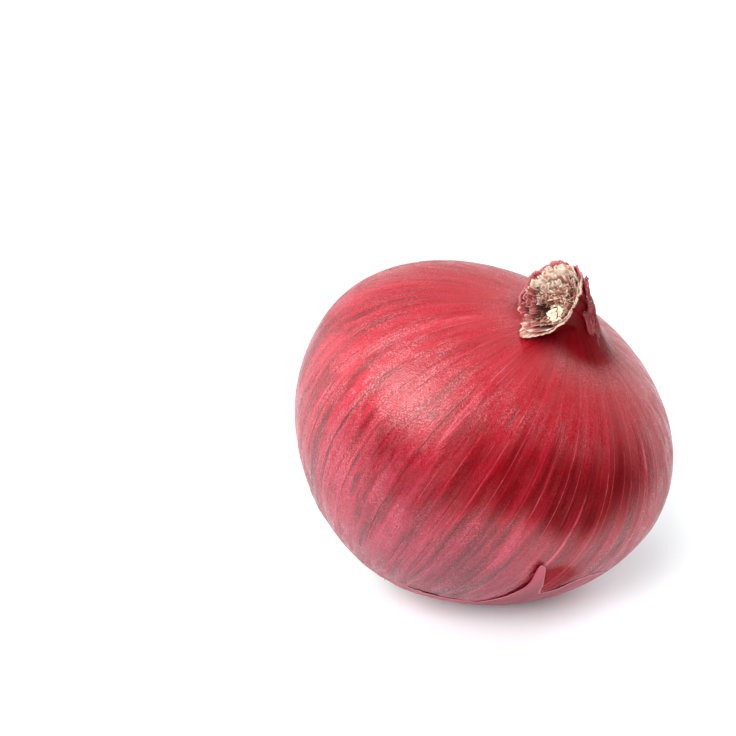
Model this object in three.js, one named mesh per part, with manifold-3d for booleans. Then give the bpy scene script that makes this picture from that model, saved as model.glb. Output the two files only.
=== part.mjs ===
// A whole red onion, dry and cured, resting on a table on a small flat spot.
// Millimetres, +Z up, origin under the middle of its bounding box on the table.
//
// The bulb is worked out in its own frame first: the neck is up its axis, and a point on its skin has
// two angles. "down" runs from 0 at the neck to PI at the roots, and "around" runs round the axis,
// from 0 on the side that ends up lowest. The whole onion then leans over onto its side.
import * as THREE from 'three';
import { mergeVertices } from 'three/addons/utils/BufferGeometryUtils.js';
import Module from 'manifold-3d';

const degrees = THREE.MathUtils.degToRad;

// Bulb
const RADIUS = 40;                 // half of the 80 mm across the belly
const NECK_HEIGHT = 31.3;          // from the belly up to the neck
const ROOT_DEPTH = 42.7;           // from the belly down to the roots
const SHOULDER_POWER = 1.02;       // 1 is a plain dome, more is pointed
const BOTTOM_POWER = 1.19;
const OVAL = 0.104;                // the belly is this much out of round
const OVAL_AT = degrees(37.3);
const NECK_SHIFT = [-0.4, -4.3];   // the neck and the roots are off the middle
const ROOT_SHIFT = [3.3, -3.8];
const ROOT_FLAT = 41.5;            // depth of the flat that the root plate sits on

// How it lies
const LEAN = degrees(33.3);
const HEADING = degrees(-18.8);
const FLAT_DEPTH = 1.0;            // how far the resting spot is pressed in

// Torn outer skin that still cups the bottom
const SKIN = 0.6;
const GAP = 0.3;
const TEAR_MIDDLE = 117;           // degrees down from the neck, on average
const TEAR_SWING = 31;             // it climbs this much on one side and drops on the other
const TEAR_LOWEST_AT = 240;
const TONGUE_AT = 316;             // a tongue of skin stands up from the torn edge
const TONGUE_HEIGHT = 15;
const TONGUE_WIDTH = 9;
const TONGUE_LIFT = 0.7;           // millimetres that its tip stands off the bulb
const SKIN_ENDS = 167;             // degrees down, round the root plate

// Neck: the shoulder runs up into a waist, and the waist opens into a slanted mouth
const SHOULDER = 0.33;             // where the neck leaves the bulb, in radians down
const WAIST = { side: 2.4, toward: 226, up: 2.0, tilt: 25, tiltToward: 215, radius: 6.2, oval: 0.03 };
const MOUTH = { side: 8.7, toward: 226, up: 4.2, tilt: 55, tiltToward: 214.5, radius: 8.2, oval: 0.2 };
const MOUTH_LONG_AT = 270;
const MOUTH_WALL = 0.9;            // the cavity is this share of the neck's radius
const MOUTH_FLOOR = 1.28;          // 1 is the waist and 2 is the mouth
const FILLING_FLOOR = 1.4;

// Roots
const PLATE_RADIUS = 5;
const PLATE_HEIGHT = 1.2;
const STUBS = 14;
const STUB_RADIUS = 0.65;
const STUB_LENGTH = 2.6;
const STUB_CLEARANCE = 0.4;        // the dry roots are worn off this far above the table

const COLUMNS = 48;
const BODY_ROWS = 28;
const EDGE_COLUMNS = 30;

const AXIS = new THREE.Vector3(0, 0, 1);
const POSE = new THREE.Matrix4().makeRotationZ(HEADING)
  .multiply(new THREE.Matrix4().makeRotationY(LEAN));

// ---------------------------------------------------------------- shapes

function smooth(from, to, value) {
  return THREE.MathUtils.smoothstep(value, from, to);
}

// A power of the sine across, a cosine along, out of round by OVAL, with both ends off the middle.
function bulbPoint(down, around) {
  const across = Math.abs(Math.sin(down));
  const along = Math.cos(down);
  const above = along > 0;
  const power = above ? SHOULDER_POWER : BOTTOM_POWER;
  const radius = RADIUS * across ** power * (1 + OVAL * Math.cos(2 * (around - OVAL_AT)));
  const nearNeck = ((1 + along) / 2) ** 2;
  const nearRoots = ((1 - along) / 2) ** 2;
  return new THREE.Vector3(
    radius * Math.cos(around) + NECK_SHIFT[0] * nearNeck + ROOT_SHIFT[0] * nearRoots,
    radius * Math.sin(around) + NECK_SHIFT[1] * nearNeck + ROOT_SHIFT[1] * nearRoots,
    (above ? NECK_HEIGHT : ROOT_DEPTH) * along,
  );
}

// Moved towards the middle of the bulb by a distance.
function pressedIn(point, distance) {
  return point.multiplyScalar(1 - distance / point.length());
}

// Angle from one bearing to another in degrees, from -180 to 180.
function bearing(around, from) {
  return THREE.MathUtils.euclideanModulo(THREE.MathUtils.radToDeg(around) - from + 180, 360) - 180;
}

// How far down the skin is torn away: a slanted line with a wavy edge and one tongue.
function tearLine(around, widen = 1) {
  const slant = TEAR_SWING * Math.cos(degrees(bearing(around, TEAR_LOWEST_AT)));
  const waves = 1.2 * Math.sin(7 * around) + 0.8 * Math.sin(13 * around + 1);
  return degrees(TEAR_MIDDLE + slant + waves - TONGUE_HEIGHT * tongue(around, widen));
}

// 1 along the middle of the tongue and 0 away from it.
function tongue(around, widen = 1) {
  return Math.exp(-((bearing(around, TONGUE_AT) / (TONGUE_WIDTH * widen)) ** 4));
}

// An oval ring round the neck, tilted over to one side.
function neckRing(ring, around) {
  const lean = degrees(ring.tilt);
  const away = new THREE.Vector3(Math.cos(degrees(ring.tiltToward)), Math.sin(degrees(ring.tiltToward)), 0);
  const across = new THREE.Vector3().crossVectors(AXIS, away);
  const downhill = away.multiplyScalar(Math.cos(lean)).addScaledVector(AXIS, -Math.sin(lean));
  const radius = ring.radius * (1 + ring.oval * Math.cos(2 * (around - degrees(MOUTH_LONG_AT))));
  const turn = around - degrees(ring.tiltToward);
  return ringMiddle(ring)
    .addScaledVector(downhill, radius * Math.cos(turn))
    .addScaledVector(across, radius * Math.sin(turn));
}

function ringMiddle(ring) {
  return new THREE.Vector3(
    NECK_SHIFT[0] + ring.side * Math.cos(degrees(ring.toward)),
    NECK_SHIFT[1] + ring.side * Math.sin(degrees(ring.toward)),
    NECK_HEIGHT + ring.up,
  );
}

// Cubic curve from a to b that leaves a along slopeA and reaches b along slopeB.
function hermite(a, slopeA, b, slopeB, t) {
  const point = a.clone().multiplyScalar(2 * t ** 3 - 3 * t ** 2 + 1);
  point.addScaledVector(slopeA, t ** 3 - 2 * t ** 2 + t);
  point.addScaledVector(b, 3 * t ** 2 - 2 * t ** 3);
  return point.addScaledVector(slopeB, t ** 3 - t ** 2);
}

// Outside of the neck: up is 0 at the shoulder, 1 at the waist and 2 at the mouth.
function neckPoint(up, around) {
  const step = 0.001;
  const start = bulbPoint(SHOULDER, around);
  const slopeAtStart = bulbPoint(SHOULDER - step, around).sub(start).multiplyScalar(0.17 / step);
  const waist = neckRing(WAIST, around);
  const mouth = neckRing(MOUTH, around);
  const slopeAtWaist = mouth.clone().sub(start).multiplyScalar(0.35).addScaledVector(AXIS, 2.2);
  if (up <= 1) return hermite(start, slopeAtStart, waist, slopeAtWaist, up);
  return hermite(waist, slopeAtWaist, mouth, mouth.clone().sub(waist), up - 1);
}

// Inside the neck: share is 0 on its middle line and 1 on its outside.
function insideNeck(up, around, share) {
  const middle = ringMiddle(WAIST).lerp(ringMiddle(MOUTH), up - 1);
  return middle.lerp(neckPoint(up, around), share);
}

// ---------------------------------------------------------------- solids

// A closed surface from rows of points. The rows either end in a point at both ends, or the last row
// joins the first and the surface is a ring. The faces are turned to point out.
function closedSurface(rows, isRing) {
  const columns = rows.find((row) => row.length > 1).length;
  const starts = [];
  const points = [];
  for (const row of rows) {
    starts.push(points.length);
    points.push(...row);
  }
  const vertex = (row, column) => starts[row] + (rows[row].length === 1 ? 0 : column % columns);
  const faces = [];
  const bands = isRing ? rows.length : rows.length - 1;
  for (let row = 0; row < bands; row += 1) {
    const next = (row + 1) % rows.length;
    for (let column = 0; column < columns; column += 1) {
      const corners = [vertex(row, column), vertex(row, column + 1), vertex(next, column + 1),
        vertex(next, column)];
      if (corners[0] !== corners[1]) faces.push([corners[0], corners[1], corners[2]]);
      if (corners[2] !== corners[3]) faces.push([corners[0], corners[2], corners[3]]);
    }
  }
  return solid(points, faces);
}

function solid(points, faces) {
  let volume = 0;
  for (const [a, b, c] of faces) volume += points[a].dot(points[b].clone().cross(points[c]));
  const turned = volume < 0 ? faces.map(([a, b, c]) => [a, c, b]) : faces;
  const geometry = new THREE.BufferGeometry();
  geometry.setAttribute('position', new THREE.Float32BufferAttribute(points.flatMap((p) => p.toArray()), 3));
  geometry.setIndex(turned.flat());
  geometry.computeVertexNormals();
  return geometry;
}

function ringOf(columns, pointAt) {
  return Array.from({ length: columns }, (_, column) => pointAt(column / columns * 2 * Math.PI));
}

function evenly(count, from, to) {
  return Array.from({ length: count }, (_, index) => from + (to - from) * index / (count - 1));
}

// From the bulb's own frame to the way it lies, pressed flat where it rests.
function laid(point, table, clearance) {
  point.applyMatrix4(POSE);
  point.z = Math.max(point.z, table + clearance);
  return point;
}

function tableHeight() {
  let lowest = Infinity;
  for (const down of evenly(120, Math.PI / 2, Math.PI)) {
    for (const point of ringOf(180, (around) => bulbPoint(down, around))) {
      lowest = Math.min(lowest, point.applyMatrix4(POSE).z);
    }
  }
  return lowest + FLAT_DEPTH;
}

const table = tableHeight();

// The fleshy bulb and the skin that runs up from it into the dry neck, with an open mouth.
function bulb() {
  const underSkin = SKIN + GAP;
  const rows = [[laid(new THREE.Vector3(...ROOT_SHIFT, -ROOT_FLAT), table, underSkin)]];
  for (const down of evenly(BODY_ROWS, Math.PI - 0.16, SHOULDER)) {
    rows.push(ringOf(COLUMNS, (around) => {
      const tear = tearLine(around, 1.8);
      const covered = smooth(tear - 0.32, tear - 0.16, down);
      const point = pressedIn(bulbPoint(down, around), underSkin * covered);
      point.z = Math.max(point.z, -ROOT_FLAT);
      return laid(point, table, underSkin);
    }));
  }
  for (const up of [0.2, 0.4, 0.6, 0.8, 1, 1.25, 1.5, 1.75, 2]) {
    rows.push(ringOf(COLUMNS, (around) => laid(neckPoint(up, around), table, 0)));
  }
  for (const up of evenly(4, 2, MOUTH_FLOOR)) {
    rows.push(ringOf(COLUMNS, (around) => laid(insideNeck(up, around, MOUTH_WALL), table, 0)));
  }
  rows.push([laid(insideNeck(MOUTH_FLOOR, 0, 0), table, 0)]);
  return closedSurface(rows, false);
}

// The torn outer skin: an outer and an inner surface, joined at the torn edge and round the roots.
function baseSkin() {
  const rows = [];
  const steps = evenly(13, 0, 1);
  const surface = (inward, order) => {
    for (const step of order) {
      rows.push(ringOf(COLUMNS, (around) => {
        const down = THREE.MathUtils.lerp(tearLine(around), degrees(SKIN_ENDS), step);
        const lift = TONGUE_LIFT * tongue(around) * (1 - smooth(0, 0.4, step));
        return laid(pressedIn(bulbPoint(down, around), inward - lift), table, inward);
      }));
    }
  };
  surface(0, steps);
  surface(SKIN, [...steps].reverse());
  return closedSurface(rows, true);
}

// A dried inner leaf base: a ring of wall inside the mouth.
function neckSheath() {
  const rows = [];
  const heights = evenly(4, FILLING_FLOOR, 1.97);
  for (const up of heights) {
    rows.push(ringOf(EDGE_COLUMNS, (around) => laid(insideNeck(up, around, 0.83), table, 0)));
  }
  for (const up of heights.reverse()) {
    rows.push(ringOf(EDGE_COLUMNS, (around) => laid(insideNeck(up, around, 0.71), table, 0)));
  }
  return closedSurface(rows, true);
}

// The pale fibrous filling of the neck.
function neckCore() {
  const rows = [[laid(insideNeck(FILLING_FLOOR, 0, 0), table, 0)]];
  for (const [up, share] of [[FILLING_FLOOR, 0.55], [1.6, 0.64], [1.8, 0.64], [1.86, 0.5]]) {
    rows.push(ringOf(EDGE_COLUMNS, (around) => laid(insideNeck(up, around, share), table, 0)));
  }
  rows.push([laid(insideNeck(1.86, 0, 0), table, 0)]);
  return closedSurface(rows, false);
}

// A scrap of torn skin that stands off the outside of the neck, curling away towards its top.
function neckScrap({ at, width, from, to, curl }) {
  const thickness = 0.45;
  const place = (up, turn, outward) => {
    const around = degrees(at + turn * width / 2);
    const middle = insideNeck(up, around, 0);
    const point = neckPoint(up, around);
    const away = point.clone().sub(middle).normalize();
    const lift = 0.4 + curl * ((up - from) / (to - from)) ** 2;
    return laid(point.addScaledVector(away, lift + outward), table, 0);
  };
  const turns = [-1, -0.33, 0.33, 1];
  const rows = evenly(5, from, to).map((up) => [
    ...turns.map((turn) => place(up, turn, 0)),
    ...turns.map((turn) => place(up, turn, thickness)).reverse(),
  ]);
  const middleOf = (row) => row.reduce((sum, p) => sum.add(p), new THREE.Vector3()).divideScalar(row.length);
  return closedSurface([[middleOf(rows[0])], ...rows, [middleOf(rows.at(-1))]], false);
}

// ---------------------------------------------------------------- roots

const wasm = await Module();
wasm.setup();

function toManifold(geometry) {
  const bare = geometry.clone();
  bare.deleteAttribute('normal');
  bare.deleteAttribute('uv');
  const merged = mergeVertices(bare, 1e-4);
  return new wasm.Manifold(new wasm.Mesh({
    numProp: 3,
    vertProperties: new Float32Array(merged.attributes.position.array),
    triVerts: new Uint32Array(merged.index.array),
  }));
}

function fromManifold(body) {
  const mesh = body.getMesh();
  const geometry = new THREE.BufferGeometry();
  geometry.setAttribute('position', new THREE.Float32BufferAttribute(mesh.vertProperties, 3));
  geometry.setIndex(Array.from(mesh.triVerts));
  geometry.computeVertexNormals();
  return geometry;
}

// The corky plate at the bottom with the dried stubs of its roots, worn off level near the table.
function rootTuft() {
  const top = -ROOT_FLAT - GAP;
  const profile = [[0, top - PLATE_HEIGHT], [PLATE_RADIUS - 0.6, top - PLATE_HEIGHT * 0.8],
    [PLATE_RADIUS, top - 0.4], [PLATE_RADIUS - 0.5, top], [0, top]];
  const plate = new THREE.LatheGeometry(profile.map(([x, y]) => new THREE.Vector2(x, y)), 24);
  plate.rotateX(Math.PI / 2);
  let body = toManifold(plate.translate(...ROOT_SHIFT, 0));
  for (let index = 0; index < STUBS; index += 1) {
    const inner = index % 3 === 0;
    const turn = index / STUBS * 2 * Math.PI;
    const out = inner ? 1.4 : 3.3;
    const splay = inner ? 0.25 : 0.75;
    const length = STUB_LENGTH * (1 + 0.25 * Math.sin(index * 2.4)) + PLATE_HEIGHT;
    const stub = new THREE.CylinderGeometry(STUB_RADIUS, STUB_RADIUS * 0.5, length, 7);
    stub.rotateX(Math.PI / 2).translate(0, 0, -length / 2 + 0.4);
    stub.rotateY(splay).rotateZ(turn);
    stub.translate(ROOT_SHIFT[0] + out * Math.cos(turn), ROOT_SHIFT[1] + out * Math.sin(turn), top - 0.6);
    body = body.add(toManifold(stub));
  }
  const tuft = fromManifold(body).applyMatrix4(POSE);
  const below = new THREE.BoxGeometry(200, 200, 40).translate(0, 0, table + STUB_CLEARANCE - 20);
  return fromManifold(toManifold(tuft).subtract(toManifold(below)));
}

// ---------------------------------------------------------------- the onion

const SCRAPS = [
  { at: 30, width: 34, from: 0.9, to: 1.75, curl: 0.9 },
  { at: 66, width: 26, from: 1.15, to: 1.85, curl: 1.0 },
  { at: 352, width: 30, from: 1.1, to: 1.6, curl: 0.5 },
];

const skinRed = new THREE.MeshStandardMaterial({ color: 0xa82a3a, roughness: 0.35, metalness: 0 });
const paperPink = new THREE.MeshStandardMaterial({ color: 0xb8485c, roughness: 0.6, metalness: 0 });
const dryCream = new THREE.MeshStandardMaterial({ color: 0xe0c3a0, roughness: 0.9, metalness: 0 });
const rootStraw = new THREE.MeshStandardMaterial({ color: 0xb69a5c, roughness: 0.95, metalness: 0 });

const pieces = [
  ['bulb', bulb(), skinRed],
  ['base_skin', baseSkin(), paperPink],
  ['neck_sheath', neckSheath(), paperPink],
  ['neck_core', neckCore(), dryCream],
  ...SCRAPS.map((scrap, index) => [`neck_scrap_${index + 1}`, neckScrap(scrap), paperPink]),
  ['root_tuft', rootTuft(), rootStraw],
];

const box = new THREE.Box3();
for (const [, geometry] of pieces) {
  geometry.computeBoundingBox();
  box.union(geometry.boundingBox);
}
const middle = box.getCenter(new THREE.Vector3());

const onion = new THREE.Group();
for (const [name, geometry, material] of pieces) {
  const mesh = new THREE.Mesh(geometry.translate(-middle.x, -middle.y, -table), material);
  mesh.name = name;
  onion.add(mesh);
}

export default onion;
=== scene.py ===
"""A whole red onion, dry and cured, lying tilted on a pale floor."""
import math

import bpy
import numpy as np
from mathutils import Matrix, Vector


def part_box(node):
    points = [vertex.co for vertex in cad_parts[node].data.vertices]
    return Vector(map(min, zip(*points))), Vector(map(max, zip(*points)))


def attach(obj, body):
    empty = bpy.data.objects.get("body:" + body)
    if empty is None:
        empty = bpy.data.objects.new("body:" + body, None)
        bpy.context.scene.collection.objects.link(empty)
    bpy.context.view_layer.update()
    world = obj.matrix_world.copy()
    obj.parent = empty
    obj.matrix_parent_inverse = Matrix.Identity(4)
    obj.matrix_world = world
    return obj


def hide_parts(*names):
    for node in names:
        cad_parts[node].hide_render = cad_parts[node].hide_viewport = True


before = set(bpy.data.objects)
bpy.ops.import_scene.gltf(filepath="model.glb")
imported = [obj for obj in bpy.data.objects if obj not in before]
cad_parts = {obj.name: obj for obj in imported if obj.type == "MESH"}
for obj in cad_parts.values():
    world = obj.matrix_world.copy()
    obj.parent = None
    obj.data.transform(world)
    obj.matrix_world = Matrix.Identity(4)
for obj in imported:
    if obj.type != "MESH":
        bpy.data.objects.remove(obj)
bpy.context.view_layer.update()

MM = 0.001
TURN = 2 * math.pi

# ------------------------------------------------------------------ measures, in millimetres and degrees
# The bulb in its own frame: its middle at the origin, its neck up
RADIUS = 40.0
NECK_HEIGHT = 31.3
ROOT_DEPTH = 42.7
SHOULDER_POWER = 1.02
BOTTOM_POWER = 1.19
OVAL = 0.104
OVAL_AT = math.radians(37.3)
NECK_SHIFT = (-0.4, -4.3)
ROOT_SHIFT = (3.3, -3.8)
ROOT_FLAT = 41.5

# How it lies on the floor
LEAN = math.radians(33.3)
HEADING = math.radians(-18.8)
FLAT_DEPTH = 1.0

# The torn outer skin: its thickness, the room kept for it, and its torn edge in degrees down the bulb
SKIN = 0.15
SKIN_SPACE = 0.19
TEAR_MIDDLE = 120
TEAR_SWING = 18
TEAR_LOWEST_AT = 250
RIP_AT = 313
RIP_HEIGHT = 22
RIP_LEAN = 5.5
TONGUE_HEIGHT = 9.5
SKIN_ENDS = 167

# The neck starts SHOULDER radians down the bulb. Its waist and mouth are tilted rings.
SHOULDER = 0.33
WAIST = dict(side=2.4, toward=226, up=2.0, tilt=25, tilt_toward=215, radius=6.2, oval=0.03)
MOUTH = dict(side=8.7, toward=226, up=4.2, tilt=55, tilt_toward=214.5, radius=8.2, oval=0.2)
MOUTH_LONG_AT = math.radians(270)
MOUTH_FLOOR = 1.28

# The root plate
PLATE_RADIUS = 5.0
PLATE_HEIGHT = 1.2
PLATE_LIFT = 0.3

# The camera, from the middle of the bulb
CAMERA_AT = (-26.64, -400.05, 189.42)
CAMERA_PITCH = math.radians(66)


# ------------------------------------------------------------------ small tools
def smooth(low, high, value):
    """A smooth step: 0 below low, 1 above high and 3t^2 - 2t^3 between."""
    t = np.clip((value - low) / (high - low), 0, 1)
    return t * t * (3 - 2 * t)


def bearing(around, start):
    """Degrees from the bearing start to the angle around, from -180 to 180."""
    return (np.degrees(around) - start + 180) % 360 - 180


def unit(vectors):
    return vectors / (np.linalg.norm(vectors, axis=-1, keepdims=True) + 1e-12)


def turn_matrix(axis, angle):
    """Turns by angle about z or y, as a 3 by 3 matrix."""
    c, s = math.cos(angle), math.sin(angle)
    if axis == "z":
        return np.array([[c, -s, 0], [s, c, 0], [0, 0, 1]])
    return np.array([[c, 0, s], [0, 1, 0], [-s, 0, c]])


POSE = turn_matrix("z", HEADING) @ turn_matrix("y", LEAN)


def wander(values, lowest, highest, seed, falloff=1.0):
    """A smooth random curve over an angle: cosines of whole numbers of waves from lowest to highest,
    each with a random phase and an amplitude that falls as its number rises, scaled to about -1 to 1."""
    draw = np.random.default_rng(seed)
    total = np.zeros(np.shape(values))
    power = 0.0
    for waves in range(lowest, highest + 1):
        size = waves ** -falloff
        total += size * np.cos(waves * values + draw.uniform(0, TURN))
        power += size * size / 2
    return total / (2 * math.sqrt(power))


# ------------------------------------------------------------------ the shape
def bulb_point(down, around):
    """A power of the sine of down across, its cosine along the axis, out of round by OVAL, with both
    ends moved off the middle."""
    across = np.abs(np.sin(down))
    along = np.cos(down)
    power = np.where(along > 0, SHOULDER_POWER, BOTTOM_POWER)
    radius = RADIUS * across ** power * (1 + OVAL * np.cos(2 * (around - OVAL_AT)))
    near_neck = ((1 + along) / 2) ** 2
    near_roots = ((1 - along) / 2) ** 2
    x = radius * np.cos(around) + NECK_SHIFT[0] * near_neck + ROOT_SHIFT[0] * near_roots
    y = radius * np.sin(around) + NECK_SHIFT[1] * near_neck + ROOT_SHIFT[1] * near_roots
    z = np.where(along > 0, NECK_HEIGHT, ROOT_DEPTH) * along
    return np.stack([x, y, z], -1)


def pressed_in(points, distance):
    """Moves points towards the middle of the bulb by a distance."""
    length = np.linalg.norm(points, axis=-1, keepdims=True)
    return points * (1 - np.asarray(distance)[..., None] / length)


def tongue(around):
    """1 at the ripped side of the tongue of torn skin, falling to 0 along its other side."""
    past = bearing(around, RIP_AT)
    return smooth(-0.8, 0.8, past) * np.exp(-(np.maximum(past - 2.2, 0) / 3.6) ** 2)


def leaning(around, down):
    """How far the rip leans off the fibres below the tongue's tip, in radians."""
    depth = np.degrees(down)
    bulge = smooth(95, 110, depth) * (1 - 0.6 * smooth(116, 138, depth))
    return np.radians(RIP_LEAN * bulge * np.exp(-(bearing(around, RIP_AT) / 18) ** 2))


def tear_line(around):
    """How far down the outer skin is torn away: a slanted line that jumps up where the skin is ripped
    along its fibres, with a tongue standing at the rip, a notch after it and a ragged edge."""
    past = bearing(around, RIP_AT)
    line = TEAR_MIDDLE + TEAR_SWING * np.cos(np.radians(bearing(around, TEAR_LOWEST_AT)))
    line -= RIP_HEIGHT * smooth(-0.8, 0.8, past) * np.exp(-(past / 70) ** 2)
    line += 9 * np.exp(-((past - 16) / 7) ** 2) - TONGUE_HEIGHT * tongue(around)
    ragged = 0.9 * wander(around, 4, 16, 11) + 0.4 * wander(around, 30, 110, 12, 0.5)
    return np.radians(line + ragged)


def ring_middle(ring):
    toward = math.radians(ring["toward"])
    return np.array([NECK_SHIFT[0] + ring["side"] * math.cos(toward),
                     NECK_SHIFT[1] + ring["side"] * math.sin(toward),
                     NECK_HEIGHT + ring["up"]])


def neck_ring(ring, around):
    """An oval ring round the neck, tilted over to one side."""
    tilt, toward = math.radians(ring["tilt"]), math.radians(ring["tilt_toward"])
    away = np.array([math.cos(toward), math.sin(toward), 0])
    up = np.array([0, 0, 1.0])
    across = np.cross(up, away)
    downhill = math.cos(tilt) * away - math.sin(tilt) * up
    radius = ring["radius"] * (1 + ring["oval"] * np.cos(2 * (around - MOUTH_LONG_AT)))
    part = around - toward
    return (ring_middle(ring) + (radius * np.cos(part))[..., None] * downhill
            + (radius * np.sin(part))[..., None] * across)


def hermite(a, slope_a, b, slope_b, t):
    """The cubic curve from a to b that leaves a along slope_a and reaches b along slope_b."""
    return ((2 * t**3 - 3 * t**2 + 1) * a + (t**3 - 2 * t**2 + t) * slope_a
            + (3 * t**2 - 2 * t**3) * b + (t**3 - t**2) * slope_b)


def neck_point(up, around):
    """The outside of the neck: up is 0 at the shoulder, 1 at the waist and 2 at the mouth."""
    step = 0.001
    start = bulb_point(np.full_like(around, SHOULDER), around)
    slope = (bulb_point(np.full_like(around, SHOULDER - step), around) - start) * (0.17 / step)
    waist = neck_ring(WAIST, around)
    mouth = neck_ring(MOUTH, around)
    slope_at_waist = 0.35 * (mouth - start) + np.array([0, 0, 2.2])
    t = np.asarray(up)[..., None]
    low = hermite(start, slope, waist, slope_at_waist, t)
    high = hermite(waist, slope_at_waist, mouth, mouth - waist, t - 1)
    return np.where(t <= 1, low, high)


def inside_neck(up, around, share):
    """Inside the neck: share is 0 on its middle line and 1 on its outside."""
    t = (np.asarray(up) - 1)[..., None]
    middle = ring_middle(WAIST) * (1 - t) + ring_middle(MOUTH) * t
    return middle + (neck_point(up, around) - middle) * np.asarray(share)[..., None]


def resting_place():
    """Where the bulb's own frame sits in the row frame: its middle over the middle of the bulb's box,
    and its lowest point the depth of the resting spot under the floor."""
    down, around = np.meshgrid(np.linspace(SHOULDER, math.pi, 400), np.linspace(0, TURN, 720))
    own = bulb_point(down, around) @ POSE.T
    low, high = own.reshape(-1, 3).min(0), own.reshape(-1, 3).max(0)
    box_low, box_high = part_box("bulb")
    middle = (np.array(box_low) + np.array(box_high)) / (2 * MM)
    place = middle - (low + high) / 2
    place[2] = -low[2] - FLAT_DEPTH
    return place


PLACE = resting_place()


def laid(points, clearance=0.0):
    """From the bulb's own frame to the row frame in metres, pressed flat where it rests."""
    world = points @ POSE.T + PLACE
    world[..., 2] = np.maximum(world[..., 2], clearance)
    return world * MM


# ------------------------------------------------------------------ meshes
def grid_faces(rows, columns, ring=True):
    """Four-cornered faces over a grid of points. With ring, the last column joins the first."""
    index = np.arange(rows * columns).reshape(rows, columns)
    right = np.roll(index, -1, 1)
    if not ring:
        index, right = index[:, :-1], right[:, :-1]
    return np.stack([index[:-1], right[:-1], right[1:], index[1:]], -1).reshape(-1, 4)


def volume(points, faces):
    """Signed volume of a closed surface, from the tetrahedra that its faces make with the origin."""
    total = 0.0
    for block in faces:
        for corner in range(1, block.shape[1] - 1):
            a, b, c = (points[block[:, k]] for k in (0, corner, corner + 1))
            total += np.einsum("ij,ij->", a, np.cross(b, c)) / 6
    return total


class Shape:
    """Closed surfaces gathered into one piece, with numbers stored for each point. Each surface is
    turned to face outwards."""

    def __init__(self):
        self.points, self.faces, self.stored, self.count = [], [], {}, 0

    def add(self, points, faces, **stored):
        points = points.reshape(-1, 3)
        if volume(points, faces) < 0:
            faces = [block[:, ::-1] for block in faces]
        self.points.append(points)
        self.faces += [block + self.count for block in faces]
        self.count += len(points)
        for name, values in stored.items():
            width = (3,) if name == "strand" else ()
            self.stored.setdefault(name, []).append(np.asarray(values, float).reshape(-1, *width))

    def capped(self, rows, start, end, **stored):
        """Rows that close on themselves, with a fan of faces to a point at each end."""
        count, columns = rows.shape[:2]
        first = np.arange(columns)
        last = first + (count - 1) * columns
        points = np.concatenate([rows.reshape(-1, 3), start[None], end[None]])
        faces = [grid_faces(count, columns),
                 np.stack([np.full(columns, count * columns), np.roll(first, -1), first], -1),
                 np.stack([np.full(columns, count * columns + 1), last, np.roll(last, -1)], -1)]
        both = {}
        for name, values in stored.items():
            flat = values.reshape(count * columns, -1)
            both[name] = np.concatenate([flat, flat[:columns].mean(0)[None], flat[-columns:].mean(0)[None]])
        self.add(points, faces, **both)

    def slab(self, outer, inner, ring=False, **stored):
        """A thin sheet: a grid of points, a second grid behind it, and faces that join their edges."""
        rows, columns = outer.shape[:2]
        index = np.arange(rows * columns).reshape(rows, columns)
        near = grid_faces(rows, columns, ring)
        far = near[:, ::-1] + rows * columns
        if ring:
            edges = [index[0], index[-1, ::-1]]
        else:
            edges = [np.concatenate([index[0, :-1], index[:-1, -1], index[-1, :0:-1], index[:0:-1, 0]])]
        faces = [near, far]
        for edge in edges:
            after = np.roll(edge, -1)
            faces.append(np.stack([after, edge, edge + rows * columns, after + rows * columns], -1))
        both = {name: np.concatenate([values, values]) for name, values in stored.items()}
        self.add(np.concatenate([outer, inner]), faces, **both)

    def tubes(self, paths, radius, sides=5, **stored):
        """Round strands along many paths at once: a ring of points square to each path at each step."""
        count, steps = paths.shape[:2]
        ahead = unit(np.gradient(paths, axis=1))
        side = unit(np.cross(ahead, np.array([0.36, 0.48, 0.8])))
        other = np.cross(ahead, side)
        turn = (np.arange(sides) / sides * TURN)[:, None]
        ring = np.cos(turn) * side[:, :, None] + np.sin(turn) * other[:, :, None]
        points = paths[:, :, None] + ring * radius[..., None, None]
        for number in range(count):
            ends = [np.arange(sides)[None], np.arange(sides)[None, ::-1] + (steps - 1) * sides]
            own = {name: np.repeat(values[number][:, None], sides, 1) for name, values in stored.items()}
            self.add(points[number], [grid_faces(steps, sides), *ends], **own)

    def piece(self, name, replaced, slot):
        mesh = bpy.data.meshes.new(name)
        faces = [corners for block in self.faces for corners in block.tolist()]
        mesh.from_pydata(np.concatenate(self.points), [], faces)
        mesh.polygons.foreach_set("use_smooth", np.ones(len(mesh.polygons), bool))
        for key, blocks in self.stored.items():
            values = np.concatenate(blocks).astype(np.float32)
            kind, field = ("FLOAT_VECTOR", "vector") if values.ndim > 1 else ("FLOAT", "value")
            mesh.attributes.new(key, kind, "POINT").data.foreach_set(field, values.ravel())
        mesh.update()
        made = bpy.data.objects.new(name, mesh)
        bpy.context.collection.objects.link(made)
        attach(made, "root")
        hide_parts(replaced)
        return made


def strand(around, along):
    """Coordinates for a grain that runs along the onion: a circle across it and a length along it."""
    return np.stack([np.cos(around), np.sin(around), along], -1)


# ------------------------------------------------------------------ bulb
BULB_COLUMNS = 400
UNDER_EDGE = math.radians(1.1)
INSIDE_MOUTH = 3                        # stored instead of the height up the neck

# Patches of colour: bearing, degrees down, half turn, half height and strength
# painted light: lighter coral on the two sides where the left and right lamps fall
LAMP_LIT_SIDES = [(212, 90, 42, 46, 0.8), (60, 70, 50, 45, 0.5)]
# deep red band: partly the skin's own darker tone, partly painted shade where the bulb turns from the lamps
DEEP_BAND_SHADE = [(300, 67, 36, 15, 1.1), (340, 52, 20, 14, 0.45), (130, 80, 40, 30, 0.6),
             (256, 90, 22, 10, 0.5)]
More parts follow.
